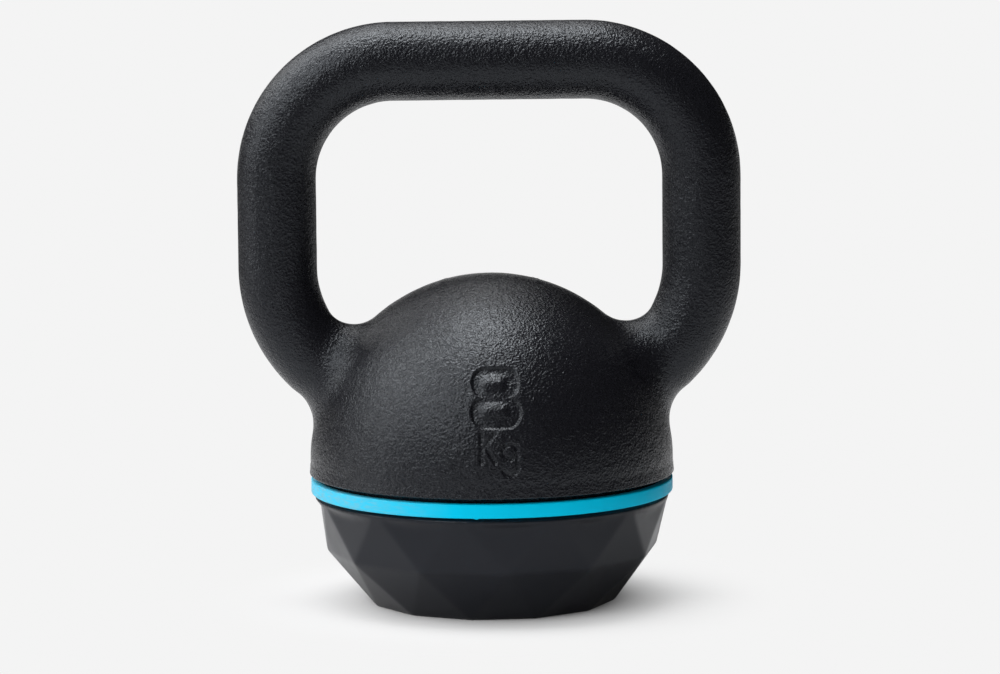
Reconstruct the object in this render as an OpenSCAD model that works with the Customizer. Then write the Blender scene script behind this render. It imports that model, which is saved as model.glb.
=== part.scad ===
// Kettlebell of 8 kg: an iron bell and handle cast as one, a coloured ring round its neck,
// and a faceted rubber foot held on from below by three screws.
// It stands on z = 0, centred on the z axis, and its handle runs along x.

/* [Bell] */
// Widest radius of the bell
bell_r = 66; // [60:0.1:72]
// How much higher the crown stands over the widest line than that line's radius
crown_rise = 2.7; // [0:0.1:8]
// How much smaller the radius of the crown is than the widest radius
crown_drop = 1.6; // [1.5:0.1:6]
// Height of the widest line above the lip's underside
belly_h = 4.4; // [3:0.1:8]
// Thickness of the round lip at the foot of the bell
lip_t = 1.8; // [1.2:0.1:2.6]
// How far the lip stands out past the widest line
lip_out = 0.2; // [0.1:0.1:0.6]

/* [Handle] */
// Diameter of the bar
grip_d = 28.5; // [25:0.1:34]
// Width over the two legs
handle_w = 181.9; // [172:0.1:192]
// Clear height between the crown and the bar
hand_gap = 62.9; // [56:0.1:70]
// Radius of the upper corners, to the middle of the bar
corner_r = 42.2; // [34:0.1:46]
// Radius of the lower bends, to the middle of the bar
bend_r = 46.4; // [44:0.1:50]
// Height of the start of the lower bends above the crown
bend_rise = 3; // [2:0.1:8]
// Reach of the root's blend inside the loop
root_in = 11.8; // [7:0.1:12]
// Reach of the root's blend outside the loop
root_out = 8.6; // [5:0.1:10]

/* [Neck and spigot] */
// Radius of the spigot that fills the foot
spigot_r = 45; // [42:0.1:52]
// Depth of the spigot below the neck
spigot_h = 10; // [10:0.1:18]
// Chamfer round the end of the spigot
spigot_chamfer = 1; // [0.4:0.1:2]

/* [Ring] */
// Height of the coloured ring
ring_h = 5; // [3:0.1:7]
// Thickness of the coloured ring
ring_t = 3; // [2:0.1:5]
// How far the ring's face lies inside the widest line of the bell
ring_inset = 0.3; // [0:0.1:1.5]
// Open joint between the ring and the lip
ring_joint = 0.8; // [0.3:0.1:1.5]
// Chamfer on the ring's outer edges
ring_chamfer = 0.4; // [0.2:0.1:0.8]

/* [Foot] */
// Height of the rubber foot
foot_h = 40.2; // [36:0.1:46]
// Number of facets round the foot
facets = 12; // [10:1:16]
// Turn of the facets away from the front
facet_turn = 3; // [0:0.5:15]
// Radius of the corners of the tread
tread_r = 44.6; // [40:0.1:50]
// Height of the girdle, where the facets turn
girdle_h = 19.2; // [16:0.1:23]
// How far the girdle's corners lie inside the widest line of the bell
girdle_inset = 5.7; // [3:0.1:7]
// How far the rim lies inside the widest line of the bell
rim_inset = 1.7; // [0.5:0.1:3]
// Height of the round rim
rim_h = 2.2; // [1:0.1:4]
// Depth of the flare that carries the rim
flare_h = 3; // [2:0.1:5]
// How far the facets' upper corners would reach past the rim
crest_out = 0.5; // [0.2:0.1:1.2]
// Radius of the hollow in the underside
hollow_r = 33; // [31:0.1:36]
// Depth of the hollow in the underside
hollow_h = 1.5; // [0.8:0.1:2.5]

/* [Screws] */
// Number of screws
screws = 3; // [3:1:6]
// Diameter of the circle that the screws stand on
screw_circle = 44; // [40:0.1:46]
// Thread diameter
screw_d = 6; // [5:0.1:8]
// Length under the head
screw_l = 20; // [16:0.1:22]
// Head diameter
head_d = 10.5; // [9.5:0.1:12]
// Head height
head_h = 3.3; // [2.5:0.1:4]
// Width of the hexagon socket across its corners
socket_w = 4.6; // [3.5:0.1:5.5]
// Depth of the hexagon socket
socket_h = 2; // [1.5:0.1:2.2]
// Outer diameter of the washers
washer_d = 12; // [11.5:0.1:14]
// Thickness of the washers
washer_t = 1.6; // [1:0.1:2]
// Thickness of rubber that the screws clamp
clamp_t = 8; // [6:0.1:10]
// Depth of the tapped holes
tap_h = 14; // [13:0.1:20]

/* [Clearances] */
// Gap all round between the spigot and the foot
spigot_gap = 0.3; // [0.1:0.05:0.6]
// Gap all round between the neck and the ring
neck_gap = 0.2; // [0.1:0.05:0.6]
// Gap all round between a thread and its tapped hole
tap_gap = 0.05; // [0.03:0.01:0.15]
// Gap all round between a thread and the hole of its washer or of the foot
shank_gap = 0.2; // [0.1:0.05:0.5]
// Gap all round between a washer and its counterbore
washer_gap = 1; // [0.3:0.1:2]

/* [Hidden] */
$fn = 96;

// Heights, from the tread upwards
spigot_z = foot_h - spigot_h;
lip_z = foot_h + ring_h + ring_joint;
belly_z = lip_z + belly_h;
crown_h = bell_r + crown_rise;
crown_z = belly_z + crown_h;
bend_z = crown_z + bend_rise;
grip_z = crown_z + hand_gap + grip_d / 2;
corner_z = grip_z - corner_r;

// Radii that follow the bell
ring_r = bell_r - ring_inset;
neck_r = ring_r - ring_t - neck_gap;
rim_r = bell_r - rim_inset;
girdle_r = bell_r - girdle_inset;

// The bell's outline is two arcs that meet in line: the crown's and the side's
crown_r = bell_r - crown_drop;
side_r = (pow(crown_h - crown_r, 2) + pow(bell_r, 2) - pow(crown_r, 2)) / (2 * crown_drop);
crown_c = [0, crown_z - crown_r];
side_c = [bell_r - side_r, belly_z];
seam = crown_c - side_c;

// The handle's bar, to its middle line
grip_r = grip_d / 2;
leg_x = (handle_w - grip_d) / 2;
bend_x = leg_x - bend_r;
corner_x = leg_x - corner_r;

// Steps of the lofted roots: round the bar, down the bend and through the blend
root_sides = 48;
bend_steps = 14;
blend_steps = 8;
// Steps of the search for the place where the bar meets the bell
search_steps = 20;
// Furthest turn of the bend, which lies well inside the bell
deep_turn = 72;
// Depth that the edge of the blend is let into the bell
toe_sink = 0.25;
// The lofted bar has flat sides, which lie just outside the round bar that is let into it
root_skin = 0.02;
root_r = grip_r / cos(180 / root_sides) + root_skin;
leg_lap = 0.5;

// Screws, from the counterbores' ceiling
seat_z = spigot_z - clamp_t;
counterbore_r = washer_d / 2 + washer_gap;
eps = 0.5;

function unit(v) = v / norm(v);
function mix(a, b, share) = a + (b - a) * share;

// A point's place in the half plane of the bell's outline, and the arc that it belongs to
function half_plane(p) = [norm([p.x, p.y]), p.z];
function by_crown(q) = cross(seam, q - side_c) > 0;

// Height of a point above the bell's skin, the skin's direction there, and the skin's own point
function above_skin(p) =
    let (q = half_plane(p))
    by_crown(q) ? norm(q - crown_c) - crown_r : norm(q - side_c) - side_r;
function skin_normal(p) =
    let (q = half_plane(p), n = unit(q - (by_crown(q) ? crown_c : side_c)))
    [n.x * p.x / q.x, n.x * p.y / q.x, n.y];
function into_skin(p, depth) = p - skin_normal(p) * (above_skin(p) + depth);

// A point of the bent bar, by the turn along the bend and the angle round the bar
function line_r(around) = bend_r + root_r * cos(around);
function bend_point(turn, around) = [
    bend_x + line_r(around) * cos(turn),
    root_r * sin(around),
    bend_z - line_r(around) * sin(turn)
];
function bar_normal(turn, around) = [
    cos(around) * cos(turn),
    sin(around),
    -cos(around) * sin(turn)
];

// Turn at which one line of the bar meets the bell, found by halving
function meeting_turn(around, low = 0, high = deep_turn, steps = search_steps) =
    let (middle = (low + high) / 2)
    steps == 0 ? middle
    : above_skin(bend_point(middle, around)) > 0 ? meeting_turn(around, middle, high, steps - 1)
    : meeting_turn(around, low, middle, steps - 1);

// Round blend from one point to another, about the corner between them
function blend(from, corner, to, share) =
    let (
        a = pow(1 - share, 2),
        b = 2 * cos(45) * share * (1 - share),
        c = pow(share, 2)
    )
    (a * from + b * corner + c * to) / (a + b + c);

// One line of the root: down the bend, then out through the blend and into the bell's skin
function root_line(around) =
    let (
        meeting = meeting_turn(around),
        reach = mix(root_in, root_out, (1 + cos(around)) / 2),
        start = meeting - reach / line_r(around) * 180 / PI,
        corner = bend_point(meeting, around),
        skin = skin_normal(corner),
        bar = bar_normal(meeting, around),
        away = unit(bar - (bar * skin) * skin),
        toe = into_skin(corner + away * reach, toe_sink)
    )
    concat(
        [for (i = [0:bend_steps - 1]) bend_point(start * i / bend_steps, around)],
        [for (i = [0:blend_steps]) blend(bend_point(start, around), corner, toe, i / blend_steps)]
    );

// Lower bend of one leg with its flared root, closed inside the bell
module root() {
    rows = bend_steps + blend_steps + 1;
    lines = [for (s = [0:root_sides - 1]) root_line(360 * s / root_sides)];
    centre = [bend_x + bend_r * cos(deep_turn), 0, bend_z - bend_r * sin(deep_turn)];
    skin = [
        for (s = [0:root_sides - 1], i = [0:rows - 2])
            let (a = s * rows + i, b = (s + 1) % root_sides * rows + i)
            each [[a, b, b + 1], [a, b + 1, a + 1]]
    ];
    top = [[for (s = [0:root_sides - 1]) (root_sides - 1 - s) * rows]];
    bottom = [
        for (s = [0:root_sides - 1])
            [s * rows + rows - 1, (s + 1) % root_sides * rows + rows - 1, root_sides * rows]
    ];
    polyhedron(concat([for (line = lines) each line], [centre]), concat(skin, top, bottom));
}

// Straight leg and upper corner of one side
module leg() {
    translate([leg_x, 0, corner_z])
        mirror([0, 0, 1])
            cylinder(h = corner_z - bend_z + leg_lap, r = grip_r);
    translate([corner_x, 0, corner_z])
        rotate([90, 0, 0])
            rotate_extrude(angle = 90)
                translate([corner_r, 0])
                    circle(grip_r);
}

module handle() {
    for (side = [0, 1])
        mirror([side, 0, 0]) {
            leg();
            root();
        }
    translate([-corner_x, 0, grip_z])
        rotate([0, 90, 0])
            cylinder(h = 2 * corner_x, r = grip_r);
}

// Half outline of the bell: crown, side, lip, neck and spigot
module bell_outline() {
    far = 2 * side_r;
    lip_c = [bell_r + lip_out - lip_t / 2, lip_z + lip_t / 2];
    seam_point = crown_c + unit(seam) * crown_r;
    seam_far = crown_c + unit(seam) * far;
    intersection() {
        translate(crown_c)
            circle(crown_r);
        polygon([crown_c, seam_far, [0, seam_far.y]]);
    }
    // The side's area reaches up inside the crown's, so that the two overlap
    intersection() {
        translate(side_c)
            circle(side_r);
        polygon([
            [0, lip_c.y],
            [far, lip_c.y],
            seam_far,
            seam_point,
            [0, crown_c.y + crown_r / 2]
        ]);
    }
    translate(lip_c)
        circle(lip_t / 2);
    polygon([
        [0, spigot_z],
        [spigot_r - spigot_chamfer, spigot_z],
        [spigot_r, spigot_z + spigot_chamfer],
        [spigot_r, foot_h],
        [neck_r, foot_h],
        [neck_r, lip_z],
        [lip_c.x, lip_z],
        [lip_c.x, lip_c.y],
        [0, lip_c.y]
    ]);
}

module round_the_screws() {
    for (i = [0:screws - 1])
        rotate(360 / screws * (i + 0.5))
            translate([screw_circle / 2, 0, 0])
                children();
}

module bell_casting() {
    color("#26282b")
        difference() {
            union() {
                rotate_extrude()
                    bell_outline();
                handle();
            }
            round_the_screws()
                translate([0, 0, spigot_z - eps])
                    cylinder(h = tap_h + eps, r = screw_d / 2 + tap_gap);
        }
}

module colour_ring() {
    color("#00b9dc")
        translate([0, 0, foot_h])
            rotate_extrude()
                polygon([
                    [ring_r - ring_t, 0],
                    [ring_r - ring_chamfer, 0],
                    [ring_r, ring_chamfer],
                    [ring_r, ring_h - ring_chamfer],
                    [ring_r - ring_chamfer, ring_h],
                    [ring_r - ring_t, ring_h]
                ]);
}

// Corners of one level of the foot, moved on by a share of a facet
function level(r, z, share) = [
    for (i = [0:facets - 1])
        let (a = 360 / facets * (i + share) + facet_turn)
        [r * cos(a), r * sin(a), z]
];

// Cut-gem body: tread, girdle and crest, each level half a facet round from the next
module gem() {
    corners = concat(
        level(tread_r, 0, 0.5),
        level(girdle_r, girdle_h, 0),
        level(rim_r + crest_out, foot_h, 0.5)
    );
    sides = [
        for (i = [0:facets - 1])
            let (
                next = (i + 1) % facets,
                tread = i,
                tread_next = next,
                girdle = facets + i,
                girdle_next = facets + next,
                crest = 2 * facets + i,
                crest_next = 2 * facets + next
            )
            each [
                [tread, girdle, girdle_next],
                [tread, girdle_next, tread_next],
                [girdle, crest, girdle_next],
                [girdle_next, crest, crest_next]
            ]
    ];
    underside = [[for (i = [0:facets - 1]) i]];
    top = [[for (i = [0:facets - 1]) 3 * facets - 1 - i]];
    polyhedron(corners, concat(sides, underside, top));
}

module rubber_foot() {
    color("#2e2f31")
        difference() {
            intersection() {
                union() {
                    gem();
                    translate([0, 0, foot_h - rim_h - flare_h])
                        cylinder(h = rim_h + flare_h, r1 = rim_r - flare_h, r2 = rim_r + rim_h);
                }
                cylinder(h = foot_h, r = rim_r);
            }
            translate([0, 0, spigot_z])
                cylinder(h = spigot_h + eps, r = spigot_r + spigot_gap);
            translate([0, 0, -eps])
                cylinder(h = hollow_h + eps, r = hollow_r);
            round_the_screws() {
                translate([0, 0, -eps])
                    cylinder(h = seat_z + eps, r = counterbore_r);
                cylinder(h = spigot_z + eps, r = screw_d / 2 + shank_gap);
            }
        }
}

// Button head screws, point upwards, with a hexagon socket
module foot_screws() {
    head_z = seat_z - washer_t - head_h;
    color("#8d9094")
        round_the_screws()
            difference() {
                union() {
                    translate([0, 0, head_z])
                        cylinder(h = head_h, r1 = head_d / 2 - head_h / 2, r2 = head_d / 2);
                    translate([0, 0, head_z])
                        cylinder(h = head_h + screw_l, r = screw_d / 2);
                }
                translate([0, 0, head_z - eps])
                    cylinder(h = socket_h + eps, d = socket_w, $fn = 6);
            }
}

module foot_washers() {
    color("#b4b6b8")
        round_the_screws()
            translate([0, 0, seat_z - washer_t])
                difference() {
                    cylinder(h = washer_t, r = washer_d / 2);
                    translate([0, 0, -eps])
                        cylinder(h = washer_t + 2 * eps, r = screw_d / 2 + shank_gap);
                }
}

bell_casting();
colour_ring();
rubber_foot();
foot_screws();
foot_washers();
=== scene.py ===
"""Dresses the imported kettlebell: a coated iron casting, a coloured ring, a faceted rubber foot
with its screws and washers, and a pale studio round them."""

import math

import bmesh
import bpy
from mathutils import Matrix, Vector, noise


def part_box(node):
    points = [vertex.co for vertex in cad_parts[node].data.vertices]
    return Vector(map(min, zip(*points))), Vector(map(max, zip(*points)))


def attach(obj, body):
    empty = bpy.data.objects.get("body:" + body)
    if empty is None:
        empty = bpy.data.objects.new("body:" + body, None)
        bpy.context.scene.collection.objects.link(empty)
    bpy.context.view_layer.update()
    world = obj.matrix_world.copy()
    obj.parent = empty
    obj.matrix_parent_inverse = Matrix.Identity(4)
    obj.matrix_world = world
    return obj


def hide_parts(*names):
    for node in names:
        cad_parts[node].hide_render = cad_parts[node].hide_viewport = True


bl_info = {
    "name": "Kettlebell",
    "version": (1, 0, 0),
    "blender": (4, 5, 0),
    "location": "3D View > Sidebar > Kettlebell",
    "description": "Casting, ring, rubber foot, fixings and studio of a kettlebell",
    "category": "Object",
}

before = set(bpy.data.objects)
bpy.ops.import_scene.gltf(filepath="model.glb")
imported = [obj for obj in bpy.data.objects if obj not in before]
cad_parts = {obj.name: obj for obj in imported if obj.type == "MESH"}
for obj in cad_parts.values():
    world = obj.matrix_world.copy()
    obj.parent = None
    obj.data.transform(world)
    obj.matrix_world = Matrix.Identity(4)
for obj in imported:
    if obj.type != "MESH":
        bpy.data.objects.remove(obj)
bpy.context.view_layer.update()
CASTING_LOW, CASTING_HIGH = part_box("bell_casting")
RING_LOW, RING_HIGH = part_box("colour_ring")
FOOT_LOW, FOOT_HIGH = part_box("rubber_foot")
SCREWS_LOW, SCREWS_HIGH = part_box("foot_screws")
WASHERS_LOW, WASHERS_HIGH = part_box("foot_washers")

MM = 0.001
DEGREE = math.radians(1)
# A distance too small to matter
TINY = 0.001 * MM
# Sides of a small circle, such as a screw's or a tapped hole's
ROUND_SIDES = 48


def length(name, description, default):
    """A size that a user may change."""
    return bpy.props.FloatProperty(
        name=name, description=description, default=default, min=0, unit="LENGTH", precision=5
    )


def share(name, description, default):
    """A plain number from nought to one."""
    return bpy.props.FloatProperty(
        name=name, description=description, default=default, min=0, max=1
    )


def colour(name, description, default):
    """A linear colour."""
    return bpy.props.FloatVectorProperty(
        name=name, description=description, default=default, size=3, min=0, max=1, subtype="COLOR"
    )


def angle(name, description, default):
    """A turn, kept in radians and shown in degrees."""
    return bpy.props.FloatProperty(
        name=name, description=description, default=default * DEGREE, subtype="ANGLE"
    )


class CastingSettings(bpy.types.PropertyGroup):
    """Sizes and finish of the bell and its handle."""

    crown_z: length("Crown height", "Height of the top of the bell", 119.1 * MM)
    crown_r: length("Crown radius", "Radius of the bell's crown", 64.4 * MM)
    belly_z: length("Belly height", "Height of the bell's widest line", 50.4 * MM)
    grip_d: length("Bar thickness", "Diameter of the handle's bar", 28.5 * MM)
    handle_w: length("Handle width", "Width over the handle's two legs", 181.9 * MM)
    corner_r: length("Corner radius", "Upper corners' radius, to the bar's middle", 42.2 * MM)
    bend_r: length("Bend radius", "Lower bends' radius, to the bar's middle", 46.4 * MM)
    bend_z: length("Bend height", "Height at which the lower bends start", 122.1 * MM)
    lip_out: length("Lip", "How far the lip stands out past the belly", 0.2 * MM)
    lip_z: length("Lip height", "Height of the lip's underside", 47 * MM)
    lip_round: length("Lip round", "Radius of the lip's lower edge", 0.5 * MM)
    neck_r: length("Neck radius", "Radius of the neck inside the ring", 62.5 * MM)
    spigot_r: length("Spigot radius", "Radius of the spigot inside the foot", 45 * MM)
    tap_r: length("Tapped hole radius", "Radius of the holes that take the screws", 3.05 * MM)
    tap_h: length("Tapped hole depth", "Depth of the holes that take the screws", 14 * MM)
    skin_size: length("Skin size", "Size of the squares that make the casting's skin", 1.2 * MM)
    ripple: length("Ripple", "Depth of the slow unevenness of the cast skin", 0.07 * MM)
    mark_depth: length("Mark depth", "Depth of the sunk weight figure", 1 * MM)
    unit_depth: length("Unit depth", "Depth of the sunk unit letters", 0.65 * MM)
    coat: colour("Coat", "Colour of the powder coat", (0.0062, 0.0062, 0.008))
    coat_roughness: share("Coat roughness", "Roughness of the powder coat", 0.26)
    pebble_w: length("Pebble width", "Width of the coat's pebbles", 0.78 * MM)
    pebble_h: length("Pebble height", "Height of the coat's pebbles", 0.36 * MM)
    swell_w: length("Swell width", "Width of the coat's broader swells", 2.4 * MM)
    swell_h: length("Swell height", "Height of the coat's broader swells", 0.28 * MM)


class RingSettings(bpy.types.PropertyGroup):
    """Sizes and finish of the coloured ring."""

    thickness: length("Thickness", "Thickness of the ring", 3 * MM)
    edge_r: length("Edge radius", "Radius of the ring's outer edges", 0.55 * MM)
    nub: length("Nub", "Height of the moulding nub under the front edge", 0.35 * MM)
    nub_turn: angle("Nub turn", "Where the nub stands, left of the front", 6.9)
    tint: colour("Tint", "Colour of the ring", (0.0, 0.55, 0.815))


class FootSettings(bpy.types.PropertyGroup):
    """Skin and finish of the rubber foot."""

    skin_size: length("Skin size", "Size of the squares that make the foot's skin", 0.8 * MM)
    gap: length("Gap", "Height of the gap between the foot's rim and the ring", 0.9 * MM)
    rubber: colour("Rubber", "Colour of the rubber", (0.0055, 0.006, 0.0085))
    roughness: share("Roughness", "Roughness of the rubber", 0.34)


class FixingSettings(bpy.types.PropertyGroup):
    """Sizes and finish of the screws and washers."""

    count: bpy.props.IntProperty(name="Count", description="Number of screws", default=3, min=1)
    circle_r: length("Circle", "Radius of the circle that the screws stand on", 22 * MM)
    thread_d: length("Thread", "Diameter of the thread", 6 * MM)
    pitch: length("Pitch", "Rise of the thread in one turn", 1 * MM)
    head_d: length("Head", "Diameter of the head", 10.5 * MM)
    head_h: length("Head height", "Height of the head", 3.3 * MM)
    socket_w: length("Socket", "Width of the hexagon socket across its corners", 4.6 * MM)
    socket_h: length("Socket depth", "Depth of the hexagon socket", 2 * MM)
    washer_d: length("Washer", "Outer diameter of the washers", 12 * MM)
    washer_hole: length("Washer hole", "Radius of the hole in the washers", 3.2 * MM)
    steel: colour("Steel", "Colour of the zinc plated steel", (0.46, 0.47, 0.48))


class StageSettings(bpy.types.PropertyGroup):
    """Camera, lamps and floor."""

    distance: length("Camera distance", "Distance of the camera from the bell's axis", 1.582)
    height: length("Camera height", "Height of the camera above the floor", 0.298)
    bearing: angle("Camera bearing", "Camera's place round the object, from the front", -2)
    pitch: angle("Camera pitch", "How far the camera looks down", 7.281)
    swing: angle("Camera swing", "How far the camera looks to the right of the axis", 0.122)
    roll: angle("Camera roll", "How far the camera leans to the right", 0.507)
    lens: bpy.props.FloatProperty(name="Lens", description="Focal length in mm", default=158.4)
    pale: share("Pale", "Brightness of the floor and the backdrop", 0.904)
    spread: angle("Lamp spread", "Angle to which the lamps' grids narrow their light", 70)
    gloom: share("Gloom", "Brightness of the studio away from the lamps and the backdrop", 0.02)


def arc(centre_x, centre_z, radius, start, end, steps):
    """Points of an arc in the half plane, from one angle to another in degrees."""
    turns = [(start + (end - start) * i / steps) * DEGREE for i in range(steps + 1)]
    return [(centre_x + radius * math.cos(t), centre_z + radius * math.sin(t)) for t in turns]


def turned(profile, steps, place=(0, 0, 0)):
    """A closed profile of (radius, height) turned round a vertical line into a solid."""
    bm = bmesh.new()
    verts = [bm.verts.new((place[0] + r, place[1], place[2] + z)) for r, z in profile]
    edges = [bm.edges.new((a, b)) for a, b in zip(verts, verts[1:] + verts[:1])]
    bmesh.ops.spin(
        bm, geom=verts + edges, cent=place, axis=(0, 0, 1), angle=math.tau,
        steps=steps, use_merge=True, use_duplicate=False,
    )
    bmesh.ops.recalc_face_normals(bm, faces=bm.faces)
    return bm


def copy_of(node):
    """A CAD node's mesh, with its loose triangles merged."""
    bm = bmesh.new()
    bm.from_mesh(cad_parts[node].data)
    bmesh.ops.remove_doubles(bm, verts=bm.verts, dist=TINY)
    return bm


def reskinned(bm, size):
    """The same solid in an even skin of small squares."""
    mesh = bpy.data.meshes.new("rough")
    bm.to_mesh(mesh)
    bm.free()
    rough = bpy.data.objects.new("rough", mesh)
    bpy.context.scene.collection.objects.link(rough)
    skin = rough.modifiers.new("skin", "REMESH")
    skin.mode = "VOXEL"
    skin.voxel_size = size
    result = bmesh.new()
    result.from_object(rough, bpy.context.evaluated_depsgraph_get())
    bpy.data.objects.remove(rough)
    bpy.data.meshes.remove(mesh)
    return result


def smooth(bm, passes, verts=None):
    """Evens out a skin."""
    for _ in range(passes):
        bmesh.ops.smooth_vert(
            bm, verts=verts or bm.verts, factor=0.5,
            use_axis_x=True, use_axis_y=True, use_axis_z=True,
        )


def finished(bm, name, material, nodes, crease=40):
    """The bmesh as a piece in place of its CAD nodes, with edges past the crease angle sharp."""
    mesh = bpy.data.meshes.new(name)
    bm.to_mesh(mesh)
    bm.free()
    mesh.shade_smooth()
    mesh.set_sharp_from_angle(angle=crease * DEGREE)
    mesh.materials.append(material)
    piece = bpy.data.objects.new(name, mesh)
    bpy.context.scene.collection.objects.link(piece)
    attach(piece, "root")
    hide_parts(*nodes)
    return piece


def eased(low, high, value):
    """Smooth step from nought to one."""
    t = min(max((value - low) / (high - low), 0), 1)
    return t * t * (3 - 2 * t)


# Materials

# Most of a noise's values lie between these two
NOISE_LOW, NOISE_HIGH = 0.3, 0.7
WHITE = (1, 1, 1, 1)


def add(tree, kind, inputs=None, **settings):
    """Adds a shader node. An input that is another node's output is linked, any other is set."""
    made = tree.nodes.new(kind)
    for name, value in settings.items():
        setattr(made, name, value)
    for name, value in (inputs or {}).items():
        if isinstance(value, bpy.types.NodeSocket):
            tree.links.new(value, made.inputs[name])
        else:
            made.inputs[name].default_value = value
    return made


def surface(name, **sockets):
    """A new material with its sockets set, and its tree, its shader and the object coordinates."""
    material = bpy.data.materials.new(name)
    material.use_nodes = True
    tree = material.node_tree
    shader = tree.nodes["Principled BSDF"]
    for socket, value in sockets.items():
        shader.inputs[socket.replace("_", " ")].default_value = value
    place = add(tree, "ShaderNodeTexCoord").outputs["Object"]
    return material, tree, shader, place


def solid(rgb):
    """A colour with full opacity."""
    return (*rgb, 1)


def toned(rgb, factor):
    """A colour made darker or lighter."""
    return [factor * c for c in rgb]


def noise_of(tree, place, width, detail=2, roughness=0.5):
    """Noise whose lumps are about as wide as given, in metres."""
    return add(
        tree, "ShaderNodeTexNoise",
        {"Vector": place, "Scale": 1 / width, "Detail": detail, "Roughness": roughness},
    ).outputs["Fac"]


def stretched(tree, place, scale):
    """Coordinates scaled unevenly, so that noise on them runs out into streaks."""
    return add(tree, "ShaderNodeMapping", {"Vector": place, "Scale": scale}).outputs["Vector"]


def ranged(tree, value, low, high, to_low, to_high):
    """A value's range carried over to another."""
    return add(
        tree, "ShaderNodeMapRange",
        {"Value": value, "From Min": low, "From Max": high, "To Min": to_low, "To Max": to_high},
    ).outputs["Result"]


def calc(tree, operation, a, b):
    """One sum on two values."""
    made = add(tree, "ShaderNodeMath", operation=operation)
    for socket, value in zip(made.inputs, (a, b)):
        if isinstance(value, bpy.types.NodeSocket):
            tree.links.new(value, socket)
        else:
            socket.default_value = value
    return made.outputs["Value"]


def blended(tree, factor, a, b):
    """Two colours mixed. The first may be another node's output."""
    made = add(tree, "ShaderNodeMix", data_type="RGBA")
    tree.links.new(factor, made.inputs["Factor"])
    if isinstance(a, bpy.types.NodeSocket):
        tree.links.new(a, made.inputs[6])
    else:
        made.inputs[6].default_value = solid(a)
    made.inputs[7].default_value = solid(b)
    return made.outputs[2]


def bumped(tree, shader, *layers):
    """Lets layers of (height from nought to one, its size) shape the light on a surface."""
    heights = [calc(tree, "MULTIPLY", height, size / MM) for height, size in layers]
    total = heights[0]
    for height in heights[1:]:
        total = calc(tree, "ADD", total, height)
    bump = add(tree, "ShaderNodeBump", {"Height": total, "Distance": MM, "Strength": 1})
    tree.links.new(bump.outputs["Normal"], shader.inputs["Normal"])


def powder_coat(settings):
    """Black powder coat with fine pebbles, a little worn and dusty in patches."""
    material, tree, shader, place = surface(
        "powder_coat", Specular_IOR_Level=0.36, Specular_Tint=solid((0.87, 0.935, 1))
    )
    pebbles = noise_of(tree, place, settings.pebble_w, detail=1.5, roughness=0.55)
    swells = noise_of(tree, place, settings.swell_w, detail=1)
    bumped(tree, shader, (pebbles, settings.pebble_h), (swells, settings.swell_h))
    patches = noise_of(tree, place, 30 * MM, detail=3)
    dark, light = toned(settings.coat, 0.8), toned(settings.coat, 1.35)
    tree.links.new(blended(tree, patches, dark, light), shader.inputs["Base Color"])
    hollow, crest = settings.coat_roughness + 0.04, settings.coat_roughness - 0.02
    gloss = ranged(tree, pebbles, NOISE_LOW, NOISE_HIGH, hollow, crest)
    tree.links.new(gloss, shader.inputs["Roughness"])
    return material


def ring_plastic(settings):
    """Coloured plastic, satin, with pale scuffs along its left front. The paleness there is partly
    a painted reflection of the lamps on the left.
    """
    material, tree, shader, place = surface("ring_plastic", Specular_IOR_Level=0.05)
    drift = noise_of(tree, place, 12 * MM, detail=3)
    streaks = stretched(tree, place, (1, 1, 6))
    scuff_and_reflection_streaks = noise_of(tree, streaks, 4 * MM, detail=4, roughness=0.65)
    tint = settings.tint
    dull = toned(tint, 0.93)
    # Pale colour for the left front: real scuffs, mixed with a painted reflection of the lamps on
    # the left
    pale_scuff_and_painted_reflection = [c + 0.15 for c in toned(tint, 0.53)]
    across = add(tree, "ShaderNodeSeparateXYZ", {0: place}).outputs["X"]
    # The painted reflection and the scuffs grow from nothing here to full strength further to the
    # left
    painted_reflection_start, painted_reflection_full = -16 * MM, -56 * MM
    left = ranged(tree, across, painted_reflection_start, painted_reflection_full, 0, 1)
    faint, strong = 0.3, 0.95
    scuffs_and_painted_reflection = calc(tree, "MULTIPLY", left, ranged(tree, scuff_and_reflection_streaks, 0.42, 0.62, faint, strong))
    tree.links.new(
        blended(tree, scuffs_and_painted_reflection, blended(tree, drift, dull, tint), pale_scuff_and_painted_reflection), shader.inputs["Base Color"]
    )
    shiny, rubbed = 0.3, 0.5
    gloss = ranged(tree, scuff_and_reflection_streaks, 0.3, 0.8, shiny, rubbed)
    tree.links.new(gloss, shader.inputs["Roughness"])
    bumped(tree, shader, (scuff_and_reflection_streaks, 0.02 * MM))
    return material


def foot_rubber(settings):
    """Black moulded rubber, satin, with a fine grain and a dusty bloom."""
    material, tree, shader, place = surface(
        "foot_rubber", Specular_IOR_Level=0.28, Specular_Tint=solid((0.88, 0.92, 1)),
        Sheen_Weight=0.06, Sheen_Roughness=0.25,
    )
    grain = noise_of(tree, place, 0.5 * MM, detail=3, roughness=0.6)
    bloom = noise_of(tree, place, 18 * MM, detail=4, roughness=0.6)
    dark, light = toned(settings.rubber, 0.85), toned(settings.rubber, 1.3)
    tree.links.new(blended(tree, bloom, dark, light), shader.inputs["Base Color"])
    clean, dusty = settings.roughness - 0.04, settings.roughness + 0.06
    gloss = ranged(tree, bloom, NOISE_LOW, NOISE_HIGH, clean, dusty)
    tree.links.new(gloss, shader.inputs["Roughness"])
    bumped(tree, shader, (grain, 0.03 * MM))
    return material


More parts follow.
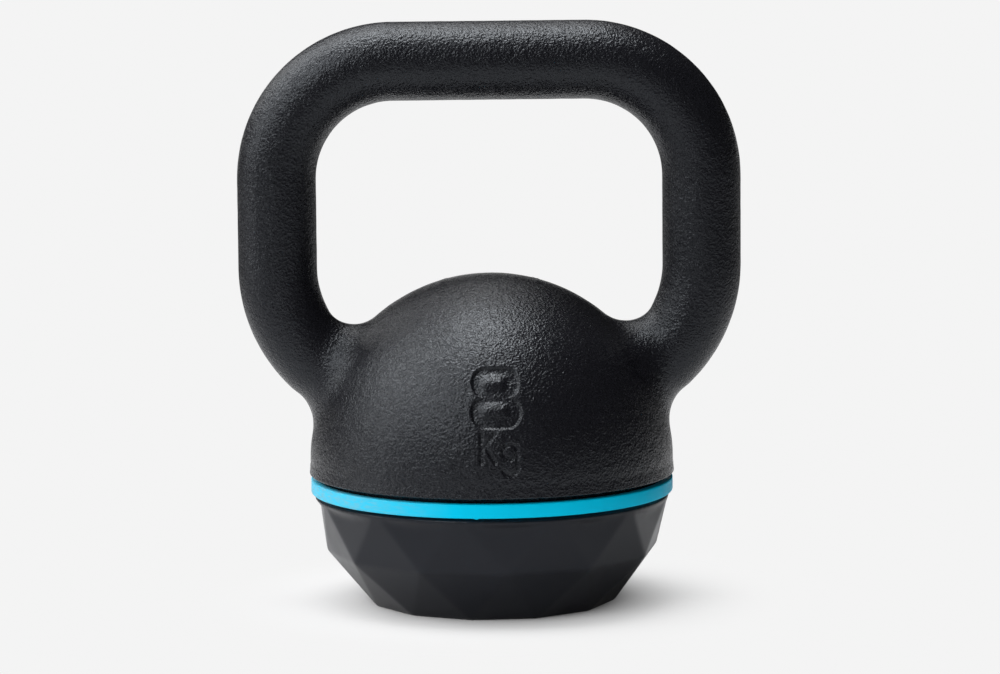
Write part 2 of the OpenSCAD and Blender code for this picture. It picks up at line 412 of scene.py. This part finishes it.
def plated_steel(settings, name, streaks):
    """Zinc plated steel with fine turning lines."""
    material, tree, shader, place = surface(name, Metallic=1.0)
    lines = stretched(tree, place, streaks)
    brushed = noise_of(tree, lines, 0.6 * MM, detail=3, roughness=0.6)
    cloudy = noise_of(tree, place, 4 * MM, detail=3)
    dark = toned(settings.steel, 0.8)
    tree.links.new(blended(tree, cloudy, dark, settings.steel), shader.inputs["Base Color"])
    bright, dim = 0.28, 0.45
    gloss = ranged(tree, brushed, NOISE_LOW, NOISE_HIGH, bright, dim)
    tree.links.new(gloss, shader.inputs["Roughness"])
    bumped(tree, shader, (brushed, 0.01 * MM))
    return material


# Casting

# How near the bell's or the bar's true skin a point is set right on it, and how far off it is left
SKIN_NEAR, SKIN_FAR = 0.15 * MM, 0.45 * MM
# The handle's roots lie past this distance from the middle
ROOTS_X = 25 * MM
# Width of the ripple's waves, and the share of its depth that they change
WAVE_W, WAVE_SHARE = 5 * MM, 0.6
# Height of the finer waves, half as wide, against the broad ones
FINE_SHARE = 0.6

# The sunk mark, in millimetres from the bell's middle line and from the floor. A box with round
# corners is (middle across, middle up, half its width, half its height, corner radius).
FIGURE_LOOPS = [(-0.45, 86.8, 8.2, 5.1, 4.8), (-0.35, 77, 8.8, 5.5, 5.2)]
FIGURE_ISLANDS = [(-1.2, 87, 4.3, 2, 2), (-1.1, 77.7, 4.8, 2.3, 2.3)]
# Share of the figure's depth to which its islands are sunk
ISLAND_SHARE = 0.1
# Distances at which a wall leaves the skin or the island, and meets the sunk floor. They run
# outwards from an outline, and from a stroke's middle line for the letters.
FIGURE_WALL = (0.4, -0.5)
ISLAND_WALL = (-2, 1.4)
LETTER_WALL = (1.05, 0.15)


class TrueForm:
    """The round forms that the casting is made of: the bell's two arcs and the bent bar."""

    def __init__(self, settings):
        bell_r = CASTING_HIGH.y - settings.lip_out
        crown_h = settings.crown_z - settings.belly_z
        crown_r = settings.crown_r
        side_r = ((crown_h - crown_r) ** 2 + bell_r**2 - crown_r**2) / (2 * (bell_r - crown_r))
        self.crown = (Vector((0, settings.crown_z - crown_r)), crown_r)
        self.side = (Vector((bell_r - side_r, settings.belly_z)), side_r)
        self.bar_r = settings.grip_d / 2
        self.leg_x = settings.handle_w / 2 - self.bar_r
        self.grip_z = CASTING_HIGH.z - self.bar_r
        self.corner = (Vector((self.leg_x - settings.corner_r, self.grip_z - settings.corner_r)),
                       settings.corner_r)
        self.bend = (Vector((self.leg_x - settings.bend_r, settings.bend_z)), settings.bend_r)

    def to_bell(self, point):
        """Way from a point to the bell's skin."""
        q = Vector((max(math.hypot(point.x, point.y), TINY), point.z))
        seam = self.crown[0] - self.side[0]
        centre, radius = self.crown if seam.cross(q - self.side[0]) > 0 else self.side
        away = q - centre
        way = away * (radius / away.length - 1)
        return Vector((way.x * point.x / q.x, way.x * point.y / q.x, way.y))

    def to_bar(self, point):
        """Way from a point to the skin of the handle's bar."""
        q = Vector((abs(point.x), point.z))
        corner, bend = self.corner[0], self.bend[0]
        if q.y > corner.y and q.x < corner.x:
            middle = Vector((q.x, self.grip_z))
        elif corner.y > q.y > bend.y:
            middle = Vector((self.leg_x, q.y))
        else:
            centre, radius = self.corner if q.y > corner.y else self.bend
            middle = centre + (q - centre).normalized() * radius
        away = point - Vector((math.copysign(middle.x, point.x), 0, middle.y))
        return away * (self.bar_r / away.length - 1)


def true_up(verts, form):
    """Sets what lies close to the bell's or the bar's true skin on it, and leaves the roots."""
    for v in verts:
        for way in (form.to_bell(v.co), form.to_bar(v.co)):
            v.co += way * (1 - eased(SKIN_NEAR, SKIN_FAR, way.length))


def past_box(x, z, box):
    """How far a point lies outside a box with round corners, less than nought inside it."""
    centre_x, centre_z, half_w, half_h, corner = box
    qx = abs(x - centre_x) - half_w + corner
    qz = abs(z - centre_z) - half_h + corner
    return math.hypot(max(qx, 0), max(qz, 0)) + min(max(qx, qz), 0) - corner


def stroke(x, z, start, end):
    """Distance from a point to a straight stroke."""
    along = Vector(end) - Vector(start)
    point = Vector((x, z)) - Vector(start)
    t = min(max(point.dot(along) / along.length_squared, 0), 1)
    return (point - along * t).length


def bow(x, z, centre, radius, end):
    """Distance from a point to an arc that runs from the right, below its centre, to an end."""
    along_x, along_z = x - centre[0], z - centre[1]
    turn = math.atan2(-along_z, along_x)
    if 0 <= turn <= end:
        return abs(math.hypot(along_x, along_z) - radius)
    tips = [(radius, 0), (radius * math.cos(end), -radius * math.sin(end))]
    return min(math.hypot(along_x - tip_x, along_z - tip_z) for tip_x, tip_z in tips)


def figure_depth(x, z):
    """Share of its depth to which the figure 8 is sunk at a point, in millimetres."""
    loops = min(past_box(x, z, box) for box in FIGURE_LOOPS)
    islands = min(past_box(x, z, box) for box in FIGURE_ISLANDS)
    sunk = ISLAND_SHARE + (1 - ISLAND_SHARE) * eased(*ISLAND_WALL, islands)
    return eased(*FIGURE_WALL, loops) * sunk


def letters_distance(x, z):
    """Distance to the middle lines of the letters K and g, in millimetres."""
    stem, base, top = -5.9, 59.9, 70
    waist = (base + top) / 2
    k = min(
        stroke(x, z, (stem, base), (stem, top)),
        stroke(x, z, (stem, waist - 0.8), (stem + 4.8, top)),
        stroke(x, z, (stem + 1.4, waist + 0.5), (stem + 4.9, base)),
    )
    bowl_x, bowl_z, bowl_r, tail_z = 4.2, 63.6, 2.5, 57.9
    g = min(
        abs(math.hypot(x - bowl_x, z - bowl_z) - bowl_r),
        stroke(x, z, (bowl_x + bowl_r, bowl_z + 2.2), (bowl_x + bowl_r, tail_z)),
        bow(x, z, (bowl_x, tail_z), bowl_r, 160 * DEGREE),
    )
    return min(k, g)


def sink_mark(bm, form, settings):
    """Sinks the weight and its unit into the front of the bell."""
    half_w, low, high = 10 * MM, 54 * MM, 93 * MM
    for reach in (2 * MM, 1 * MM):
        middles = ((f, f.calc_center_median()) for f in bm.faces)
        patch = [
            f for f, middle in middles
            if middle.y < 0 and abs(middle.x) < half_w + reach
            and low - reach < middle.z < high + reach
        ]
        edges = list({e for f in patch for e in f.edges})
        bmesh.ops.subdivide_edges(bm, edges=edges, cuts=1, use_grid_fill=True)
    half_w, low, high = 12 * MM, 51.5 * MM, 96 * MM
    near = [v for v in bm.verts if v.co.y < 0 and abs(v.co.x) < half_w and low < v.co.z < high]
    true_up(near, form)
    bm.normal_update()
    for v in near:
        x, z = v.co.x / MM, v.co.z / MM
        figure = settings.mark_depth * figure_depth(x, z)
        letters = settings.unit_depth * eased(*LETTER_WALL, letters_distance(x, z))
        v.co -= v.normal * max(figure, letters)


def ripple(bm, height):
    """The slow unevenness of a cast and coated skin, sunk below its true form."""
    bm.normal_update()
    for v in bm.verts:
        broad, fine = noise.noise(v.co / WAVE_W), noise.noise(v.co / (WAVE_W / 2))
        v.co -= v.normal * height * (1 + WAVE_SHARE * (broad + FINE_SHARE * fine))


def grown(verts, rings):
    """Some vertices with their neighbours, ring by ring."""
    patch = set(verts)
    for _ in range(rings):
        patch |= {e.other_vert(v) for v in patch for e in v.link_edges}
    return list(patch)


def blend_roots(bm, form):
    """Lets the handle's roots run softly into the bell and the bar."""
    roots = [
        v for v in bm.verts
        if abs(v.co.x) > ROOTS_X and v.co.z < form.bend[0].y
        and min(form.to_bell(v.co).length, form.to_bar(v.co).length) > SKIN_NEAR
    ]
    for rings in (6, 4, 3, 2):
        smooth(bm, passes=9, verts=grown(roots, rings))


def rim_below(edges):
    """The free edges among some edges."""
    return [e for e in edges if isinstance(e, bmesh.types.BMEdge) and e.is_boundary]


def drop_skirt(bm, edges, profile):
    """Draws a round open rim down through the levels of a profile of (radius, height)."""
    for radius, z in profile:
        made = bmesh.ops.extrude_edge_only(bm, edges=edges)["geom"]
        for v in (g for g in made if isinstance(g, bmesh.types.BMVert)):
            flat = Vector((v.co.x, v.co.y)).normalized() * radius
            v.co = (flat.x, flat.y, z)
        edges = rim_below(made)
    return edges


def close_spigot(bm, edges, settings, fixings):
    """Closes the spigot's end, with the tapped holes in it."""
    z = CASTING_LOW.z
    holes = []
    for i in range(fixings.count):
        turn = Matrix.Rotation(math.tau * (i + 0.5) / fixings.count, 4, "Z")
        place = turn @ Matrix.Translation((fixings.circle_r, 0, z))
        made = bmesh.ops.create_circle(
            bm, segments=ROUND_SIDES, radius=settings.tap_r, matrix=place
        )
        holes.append(list({e for v in made["verts"] for e in v.link_edges}))
    bmesh.ops.triangle_fill(
        bm, use_beauty=True, edges=edges + [e for hole in holes for e in hole], normal=(0, 0, -1)
    )
    for hole in holes:
        made = bmesh.ops.extrude_edge_only(bm, edges=hole)["geom"]
        bmesh.ops.translate(
            bm, verts=[g for g in made if isinstance(g, bmesh.types.BMVert)],
            vec=(0, 0, settings.tap_h),
        )
        bmesh.ops.holes_fill(bm, edges=rim_below(made))


def lower_outline(settings):
    """Outline of the casting below the belly: lip, neck, shoulder and spigot."""
    lip_r, lip_z, round_r = CASTING_HIGH.y, settings.lip_z, settings.lip_round
    bell_r = lip_r - settings.lip_out
    fade_z, smooth_z = lip_z + 3.2 * MM, lip_z + 2.2 * MM
    neck_r, spigot_r = settings.neck_r, settings.spigot_r
    shoulder_z, end_z = FOOT_HIGH.z, CASTING_LOW.z
    corner, chamfer = 0.3 * MM, 1 * MM
    return [
        (bell_r - settings.ripple, settings.belly_z),
        (bell_r - 0.5 * settings.ripple, fade_z),
        (bell_r, smooth_z),
        *arc(lip_r - round_r, lip_z + round_r, round_r, 10, -90, 8),
        (neck_r + corner, lip_z),
        (neck_r, lip_z - corner),
        (neck_r, shoulder_z),
        (spigot_r, shoulder_z),
        (spigot_r, end_z + chamfer),
        (spigot_r - chamfer, end_z),
    ]


class KETTLEBELL_OT_casting(bpy.types.Operator):
    """Makes the coated iron bell and handle in one piece"""

    bl_idname = "kettlebell.casting"
    bl_label = "Bell and handle"

    def execute(self, context):
        settings = context.scene.kettlebell_casting
        form = TrueForm(settings)
        bm = reskinned(copy_of("bell_casting"), settings.skin_size)
        smooth(bm, passes=8)
        true_up(bm.verts, form)
        smooth(bm, passes=3)
        true_up(bm.verts, form)
        blend_roots(bm, form)
        cut_z, slack = settings.belly_z + 0.7 * MM, 0.01 * MM
        bmesh.ops.bisect_plane(
            bm, geom=bm.verts[:] + bm.edges[:] + bm.faces[:], dist=slack,
            plane_co=(0, 0, cut_z), plane_no=(0, 0, 1), clear_inner=True,
        )
        sink_mark(bm, form, settings)
        ripple(bm, settings.ripple)
        rim = [e for e in bm.edges if e.is_boundary]
        rim = drop_skirt(bm, rim, lower_outline(settings))
        close_spigot(bm, rim, settings, context.scene.kettlebell_fixings)
        bmesh.ops.recalc_face_normals(bm, faces=bm.faces)
        finished(
            bm, "casting", powder_coat(settings), ["bell_casting"], crease=55
        )
        return {"FINISHED"}


class KETTLEBELL_OT_ring(bpy.types.Operator):
    """Makes the coloured ring round the neck"""

    bl_idname = "kettlebell.ring"
    bl_label = "Colour ring"

    def execute(self, context):
        settings = context.scene.kettlebell_ring
        low, high, radius = RING_LOW.z, RING_HIGH.z, RING_HIGH.x
        inner, edge = radius - settings.thickness, settings.edge_r
        profile = [
            (inner, low),
            *arc(radius - edge, low + edge, edge, -90, 0, 6),
            *arc(radius - edge, high - edge, edge, 0, 90, 6),
            (inner, high),
        ]
        bm = turned(profile, steps=720)
        nub = Vector((-math.sin(settings.nub_turn), -math.cos(settings.nub_turn), 0)) * radius
        nub.z = low + 0.2 * MM
        nub_core, nub_reach = 0.3 * MM, 1.1 * MM
        for v in bm.verts:
            closeness = 1 - eased(nub_core, nub_reach, (v.co - nub).length)
            v.co.z -= settings.nub * closeness
        finished(bm, "ring", ring_plastic(settings), ["colour_ring"])
        return {"FINISHED"}


class KETTLEBELL_OT_foot(bpy.types.Operator):
    """Makes the faceted rubber foot"""

    bl_idname = "kettlebell.foot"
    bl_label = "Rubber foot"

    def execute(self, context):
        settings = context.scene.kettlebell_foot
        bm = reskinned(copy_of("rubber_foot"), settings.skin_size)
        smooth(bm, passes=4)
        inner = RING_HIGH.x - context.scene.kettlebell_ring.thickness
        step_start, step_end = inner + 0.4 * MM, inner + 0.9 * MM
        rim_z, top_z = FOOT_HIGH.z - 3 * MM, FOOT_HIGH.z
        for v in bm.verts:
            outside = eased(step_start, step_end, math.hypot(v.co.x, v.co.y))
            v.co.z -= settings.gap * outside * eased(rim_z, top_z, v.co.z)
            v.co.z = max(v.co.z, FOOT_LOW.z)
        finished(bm, "foot", foot_rubber(settings), ["rubber_foot"], crease=60)
        return {"FINISHED"}


def stand_round(bm, settings):
    """Repeats a piece that stands on the screws' circle once for each screw."""
    first = bm.verts[:] + bm.edges[:] + bm.faces[:]
    step = math.tau / settings.count
    for i in range(1, settings.count):
        copy = bmesh.ops.duplicate(bm, geom=first)["geom"]
        bmesh.ops.rotate(
            bm, verts=[g for g in copy if isinstance(g, bmesh.types.BMVert)],
            cent=(0, 0, 0), matrix=Matrix.Rotation(step * i, 3, "Z"),
        )
    bmesh.ops.rotate(
        bm, verts=bm.verts, cent=(0, 0, 0), matrix=Matrix.Rotation(step / 2, 3, "Z")
    )


# How deep a screw's core and its ridge's root lie under the crest, in pitches. The root sits a
# little inside the core.
CORE_DEPTH, ROOT_DEPTH = 0.6, 0.62


def screw(settings):
    """One button head screw, point upwards: a hexagon socket, a domed head and a thread."""
    bm = bmesh.new()
    head_z, tip_z = SCREWS_LOW.z, SCREWS_HIGH.z
    under_z = head_z + settings.head_h
    head_r, shank_r, pitch = settings.head_d / 2, settings.thread_d / 2, settings.pitch
    face_r = head_r - settings.head_h / 2
    core_r = shank_r - CORE_DEPTH * pitch
    edge_h = 0.4 * MM
    place = Matrix.Translation((settings.circle_r, 0, 0))

    def loop(radius, z, segments):
        made = bmesh.ops.create_circle(
            bm, segments=segments, radius=radius, matrix=place @ Matrix.Translation((0, 0, z))
        )
        return list({e for v in made["verts"] for e in v.link_edges})

    def joined(loops):
        for a, b in zip(loops, loops[1:]):
            bmesh.ops.bridge_loops(bm, edges=a + b)

    dome_w, dome_h = head_r - face_r, settings.head_h - edge_h
    levels = [
        (face_r + dome_w * x, under_z + dome_h * z - edge_h)
        for x, z in arc(0, 0, 1, -90, 0, 7)
    ]
    socket = [loop(settings.socket_w / 2, head_z + settings.socket_h, 6),
              loop(settings.socket_w / 2, head_z, 6)]
    head = [loop(r, z, ROUND_SIDES) for r, z in levels]
    neck = [loop(r, z, ROUND_SIDES)
            for r, z in ((head_r, under_z), (core_r, under_z), (core_r, tip_z))]
    joined(socket + head + neck)
    bmesh.ops.holes_fill(bm, edges=socket[0])
    bmesh.ops.holes_fill(bm, edges=neck[-1])
    bmesh.ops.recalc_face_normals(bm, faces=bm.faces)
    return bm


def thread(settings):
    """The ridge of one screw's thread, wound round its core."""
    pitch, crest = settings.pitch, settings.thread_d / 2
    root = crest - ROOT_DEPTH * pitch
    start, end = SCREWS_LOW.z + settings.head_h + 1.5 * pitch, SCREWS_HIGH.z - pitch
    bm = bmesh.new()
    x = settings.circle_r
    root_half, crest_half = 0.44, 0.08
    tooth = [(root, -root_half), (crest, -crest_half), (crest, crest_half), (root, root_half)]
    verts = [bm.verts.new((x + r, 0, start + z * pitch)) for r, z in tooth]
    edges = [bm.edges.new((a, b)) for a, b in zip(verts, verts[1:] + verts[:1])]
    face = bm.faces.new(verts)
    turns = (end - start) / pitch
    steps_a_turn = 32
    steps = round(steps_a_turn * turns)
    made = bmesh.ops.spin(
        bm, geom=verts + edges + [face], cent=(x, 0, 0), axis=(0, 0, 1), angle=math.tau * turns,
        dvec=(0, 0, (end - start) / steps), steps=steps, use_merge=False, use_duplicate=False,
    )
    bmesh.ops.recalc_face_normals(bm, faces=bm.faces)
    return bm


def merged(*parts):
    """Several solids in one bmesh."""
    whole = bmesh.new()
    for part in parts:
        mesh = bpy.data.meshes.new("part")
        part.to_mesh(mesh)
        part.free()
        whole.from_mesh(mesh)
        bpy.data.meshes.remove(mesh)
    return whole


class KETTLEBELL_OT_screws(bpy.types.Operator):
    """Makes the screws that hold the foot"""

    bl_idname = "kettlebell.screws"
    bl_label = "Foot screws"

    def execute(self, context):
        settings = context.scene.kettlebell_fixings
        bm = merged(screw(settings), thread(settings))
        stand_round(bm, settings)
        steel = plated_steel(settings, "screw_steel", (1, 1, 3))
        finished(bm, "screws", steel, ["foot_screws"], crease=30)
        return {"FINISHED"}


class KETTLEBELL_OT_washers(bpy.types.Operator):
    """Makes the washers under the screws' heads"""

    bl_idname = "kettlebell.washers"
    bl_label = "Washers"

    def execute(self, context):
        settings = context.scene.kettlebell_fixings
        low, high = WASHERS_LOW.z, WASHERS_HIGH.z
        inner, outer, edge = settings.washer_hole, settings.washer_d / 2, 0.25 * MM
        profile = [
            *arc(inner + edge, low + edge, edge, 180, 270, 3),
            *arc(outer - edge, low + edge, edge, -90, 0, 3),
            (outer, high),
            (inner, high),
        ]
        bm = turned(profile, steps=64, place=(settings.circle_r, 0, 0))
        stand_round(bm, settings)
        steel = plated_steel(settings, "washer_steel", (3, 1, 1))
        finished(bm, "washers", steel, ["foot_washers"], crease=30)
        return {"FINISHED"}


# Stage

# Name, bearing from the front towards the left and climb in degrees, distance in metres, width
# and height in metres, power in watts
LAMPS = [
    ("zenith", 95, 85, 1.25, (0.6, 0.6), 2.6),
    ("over_left", 125, 54, 1.35, (0.6, 0.6), 0.8),
    ("back", 178, 52, 1.4, (0.7, 0.5), 0.5),
    ("left", 95, 42, 1.4, (0.7, 0.6), 1.45),
    ("low_left", 85, 12, 1.4, (0.8, 0.5), 0.8),
    ("front_left", 38, 35, 1.5, (0.7, 0.7), 1.6),
    ("back_left", 140, 25, 1.4, (0.6, 0.6), 0.32),
    ("fill", 12, 18, 2.4, (2, 1.4), 14),
]
# The height that the lamps face
AIM_Z = 0.12
# Half the floor's width
FLOOR_HALF = 30
FLOOR_PAINT = (0.61, 0.61, 0.615)
# Distances from the middle between which the floor goes over from its paint to the backdrop's tone
PAINT_END, TONE_START = 41 * MM, 108 * MM
# How far behind the object the floor starts to show the backdrop's tone in mirrors, and where it
# does so fully
MIRROR_START, MIRROR_FULL = 1.5, 4
# How straight a ray has to run to the back to meet the backdrop's edge and its full tone, as the
# cosine of its angle
BACKDROP_EDGE, BACKDROP_FULL = 0.985, 0.9995


def floor_material(settings):
    """Pale matt floor that takes the object's shadow and passes into the backdrop's tone."""
    material = bpy.data.materials.new("floor")
    material.use_nodes = True
    tree = material.node_tree
    tree.nodes.clear()
    place = add(tree, "ShaderNodeTexCoord").outputs["Object"]
    reach = add(tree, "ShaderNodeVectorMath", {0: place}, operation="LENGTH").outputs["Value"]
    near = ranged(tree, reach, PAINT_END, TONE_START, 1, 0)
    fade = calc(tree, "SUBTRACT", 1, calc(tree, "MULTIPLY", near, near))
    depth = add(tree, "ShaderNodeSeparateXYZ", {0: place}).outputs["Y"]
    behind = ranged(tree, depth, MIRROR_START, MIRROR_FULL, 0, 1)
    path = add(tree, "ShaderNodeLightPath").outputs
    bent = calc(tree, "MAXIMUM", path["Is Glossy Ray"], path["Is Transmission Ray"])
    mirrored = calc(tree, "MULTIPLY", behind, bent)
    seen = calc(tree, "MAXIMUM", path["Is Camera Ray"], mirrored)
    matt = add(tree, "ShaderNodeBsdfDiffuse", {"Color": solid(FLOOR_PAINT)})
    tone = add(tree, "ShaderNodeEmission", {"Color": WHITE, "Strength": settings.pale})
    mixed = add(
        tree, "ShaderNodeMixShader",
        {0: calc(tree, "MULTIPLY", fade, seen), 1: matt.outputs[0], 2: tone.outputs[0]},
    )
    output = add(tree, "ShaderNodeOutputMaterial")
    tree.links.new(mixed.outputs[0], output.inputs["Surface"])
    return material


def studio_world(settings):
    """Pale all round for the camera. Other rays meet a dim studio, pale only straight behind."""
    world = bpy.data.worlds.new("studio")
    world.use_nodes = True
    tree = world.node_tree
    tree.nodes.clear()
    path = add(tree, "ShaderNodeLightPath").outputs
    towards = add(tree, "ShaderNodeTexCoord").outputs["Generated"]
    parts = add(tree, "ShaderNodeSeparateXYZ", {0: towards}).outputs
    level = ranged(
        tree, parts["Y"], BACKDROP_EDGE, BACKDROP_FULL, settings.gloom, settings.pale
    )
    strength = add(
        tree, "ShaderNodeMix",
        {0: path["Is Camera Ray"], 2: level, 3: settings.pale}, data_type="FLOAT",
    ).outputs[0]
    light = add(tree, "ShaderNodeBackground", {"Color": WHITE, "Strength": strength})
    output = add(tree, "ShaderNodeOutputWorld")
    tree.links.new(light.outputs[0], output.inputs["Surface"])
    return world


def softbox(name, bearing, climb, distance, size, power):
    """A flat lamp that faces the object, at a bearing from the front towards the left."""
    lamp = bpy.data.lights.new(name, "AREA")
    lamp.shape = "RECTANGLE"
    lamp.size, lamp.size_y = size
    lamp.energy = power
    way = Vector((-math.cos(climb) * math.sin(bearing), -math.cos(climb) * math.cos(bearing),
                  math.sin(climb)))
    holder = bpy.data.objects.new(name, lamp)
    holder.location = way * distance + Vector((0, 0, AIM_Z))
    holder.rotation_mode = "QUATERNION"
    holder.rotation_quaternion = way.to_track_quat("Z", "Y")
    bpy.context.scene.collection.objects.link(holder)
    return holder


def set_camera(settings):
    """The camera, a little left of the front and above the object, looking down."""
    data = bpy.data.cameras.new("camera")
    data.lens = settings.lens
    data.sensor_width = 36
    data.clip_end = 100
    camera = bpy.data.objects.new("camera", data)
    bearing, pitch = settings.bearing, settings.pitch
    away = settings.distance
    camera.location = (away * math.sin(bearing), -away * math.cos(bearing), settings.height)
    heading = bearing - settings.swing
    ahead = Vector((-math.sin(heading) * math.cos(pitch), math.cos(heading) * math.cos(pitch),
                    -math.sin(pitch)))
    camera.rotation_mode = "QUATERNION"
    roll = Matrix.Rotation(-settings.roll, 3, "Z").to_quaternion()
    camera.rotation_quaternion = ahead.to_track_quat("-Z", "Y") @ roll
    bpy.context.scene.collection.objects.link(camera)
    bpy.context.scene.camera = camera


class KETTLEBELL_OT_stage(bpy.types.Operator):
    """Sets the floor, the lamps, the backdrop and the camera"""

    bl_idname = "kettlebell.stage"
    bl_label = "Stage"

    def execute(self, context):
        settings = context.scene.kettlebell_stage
        bm = bmesh.new()
        bmesh.ops.create_grid(bm, x_segments=1, y_segments=1, size=FLOOR_HALF)
        mesh = bpy.data.meshes.new("floor")
        bm.to_mesh(mesh)
        bm.free()
        mesh.materials.append(floor_material(settings))
        floor = bpy.data.objects.new("floor", mesh)
        context.scene.collection.objects.link(floor)
        context.scene.world = studio_world(settings)
        for name, bearing, climb, distance, size, power in LAMPS:
            lamp = softbox(name, bearing * DEGREE, climb * DEGREE, distance, size, power)
            if name == "fill":
                lamp.visible_glossy = False
            else:
                lamp.data.spread = settings.spread
        set_camera(settings)
        context.scene.view_settings.view_transform = "Standard"
        return {"FINISHED"}


class KETTLEBELL_PT_panel(bpy.types.Panel):
    """Lists the kettlebell's pieces and their settings"""

    bl_idname = "KETTLEBELL_PT_panel"
    bl_label = "Kettlebell"
    bl_space_type = "VIEW_3D"
    bl_region_type = "UI"
    bl_category = "Kettlebell"

    def draw(self, context):
        for operator, group in MAKING_ORDER:
            box = self.layout.box()
            box.operator(operator.bl_idname)
            settings = getattr(context.scene, group)
            for name in settings.__annotations__:
                box.prop(settings, name)


GROUPS = {
    "kettlebell_casting": CastingSettings,
    "kettlebell_ring": RingSettings,
    "kettlebell_foot": FootSettings,
    "kettlebell_fixings": FixingSettings,
    "kettlebell_stage": StageSettings,
}
MAKING_ORDER = [
    (KETTLEBELL_OT_stage, "kettlebell_stage"),
    (KETTLEBELL_OT_casting, "kettlebell_casting"),
    (KETTLEBELL_OT_ring, "kettlebell_ring"),
    (KETTLEBELL_OT_foot, "kettlebell_foot"),
    (KETTLEBELL_OT_screws, "kettlebell_fixings"),
    (KETTLEBELL_OT_washers, "kettlebell_fixings"),
]
CLASSES = [*GROUPS.values(), *(operator for operator, _ in MAKING_ORDER), KETTLEBELL_PT_panel]


def register():
    """Makes the settings, the operators and the panel known."""
    for cls in CLASSES:
        bpy.utils.register_class(cls)
    for name, group in GROUPS.items():
        setattr(bpy.types.Scene, name, bpy.props.PointerProperty(type=group))


def unregister():
    """Takes them away again."""
    for name in GROUPS:
        delattr(bpy.types.Scene, name)
    for cls in reversed(CLASSES):
        bpy.utils.unregister_class(cls)


def main():
    """Makes the whole scene."""
    register()
    bpy.ops.kettlebell.stage()
    bpy.ops.kettlebell.casting()
    bpy.ops.kettlebell.ring()
    bpy.ops.kettlebell.foot()
    bpy.ops.kettlebell.screws()
    bpy.ops.kettlebell.washers()


if __name__ == "__main__":
    main()
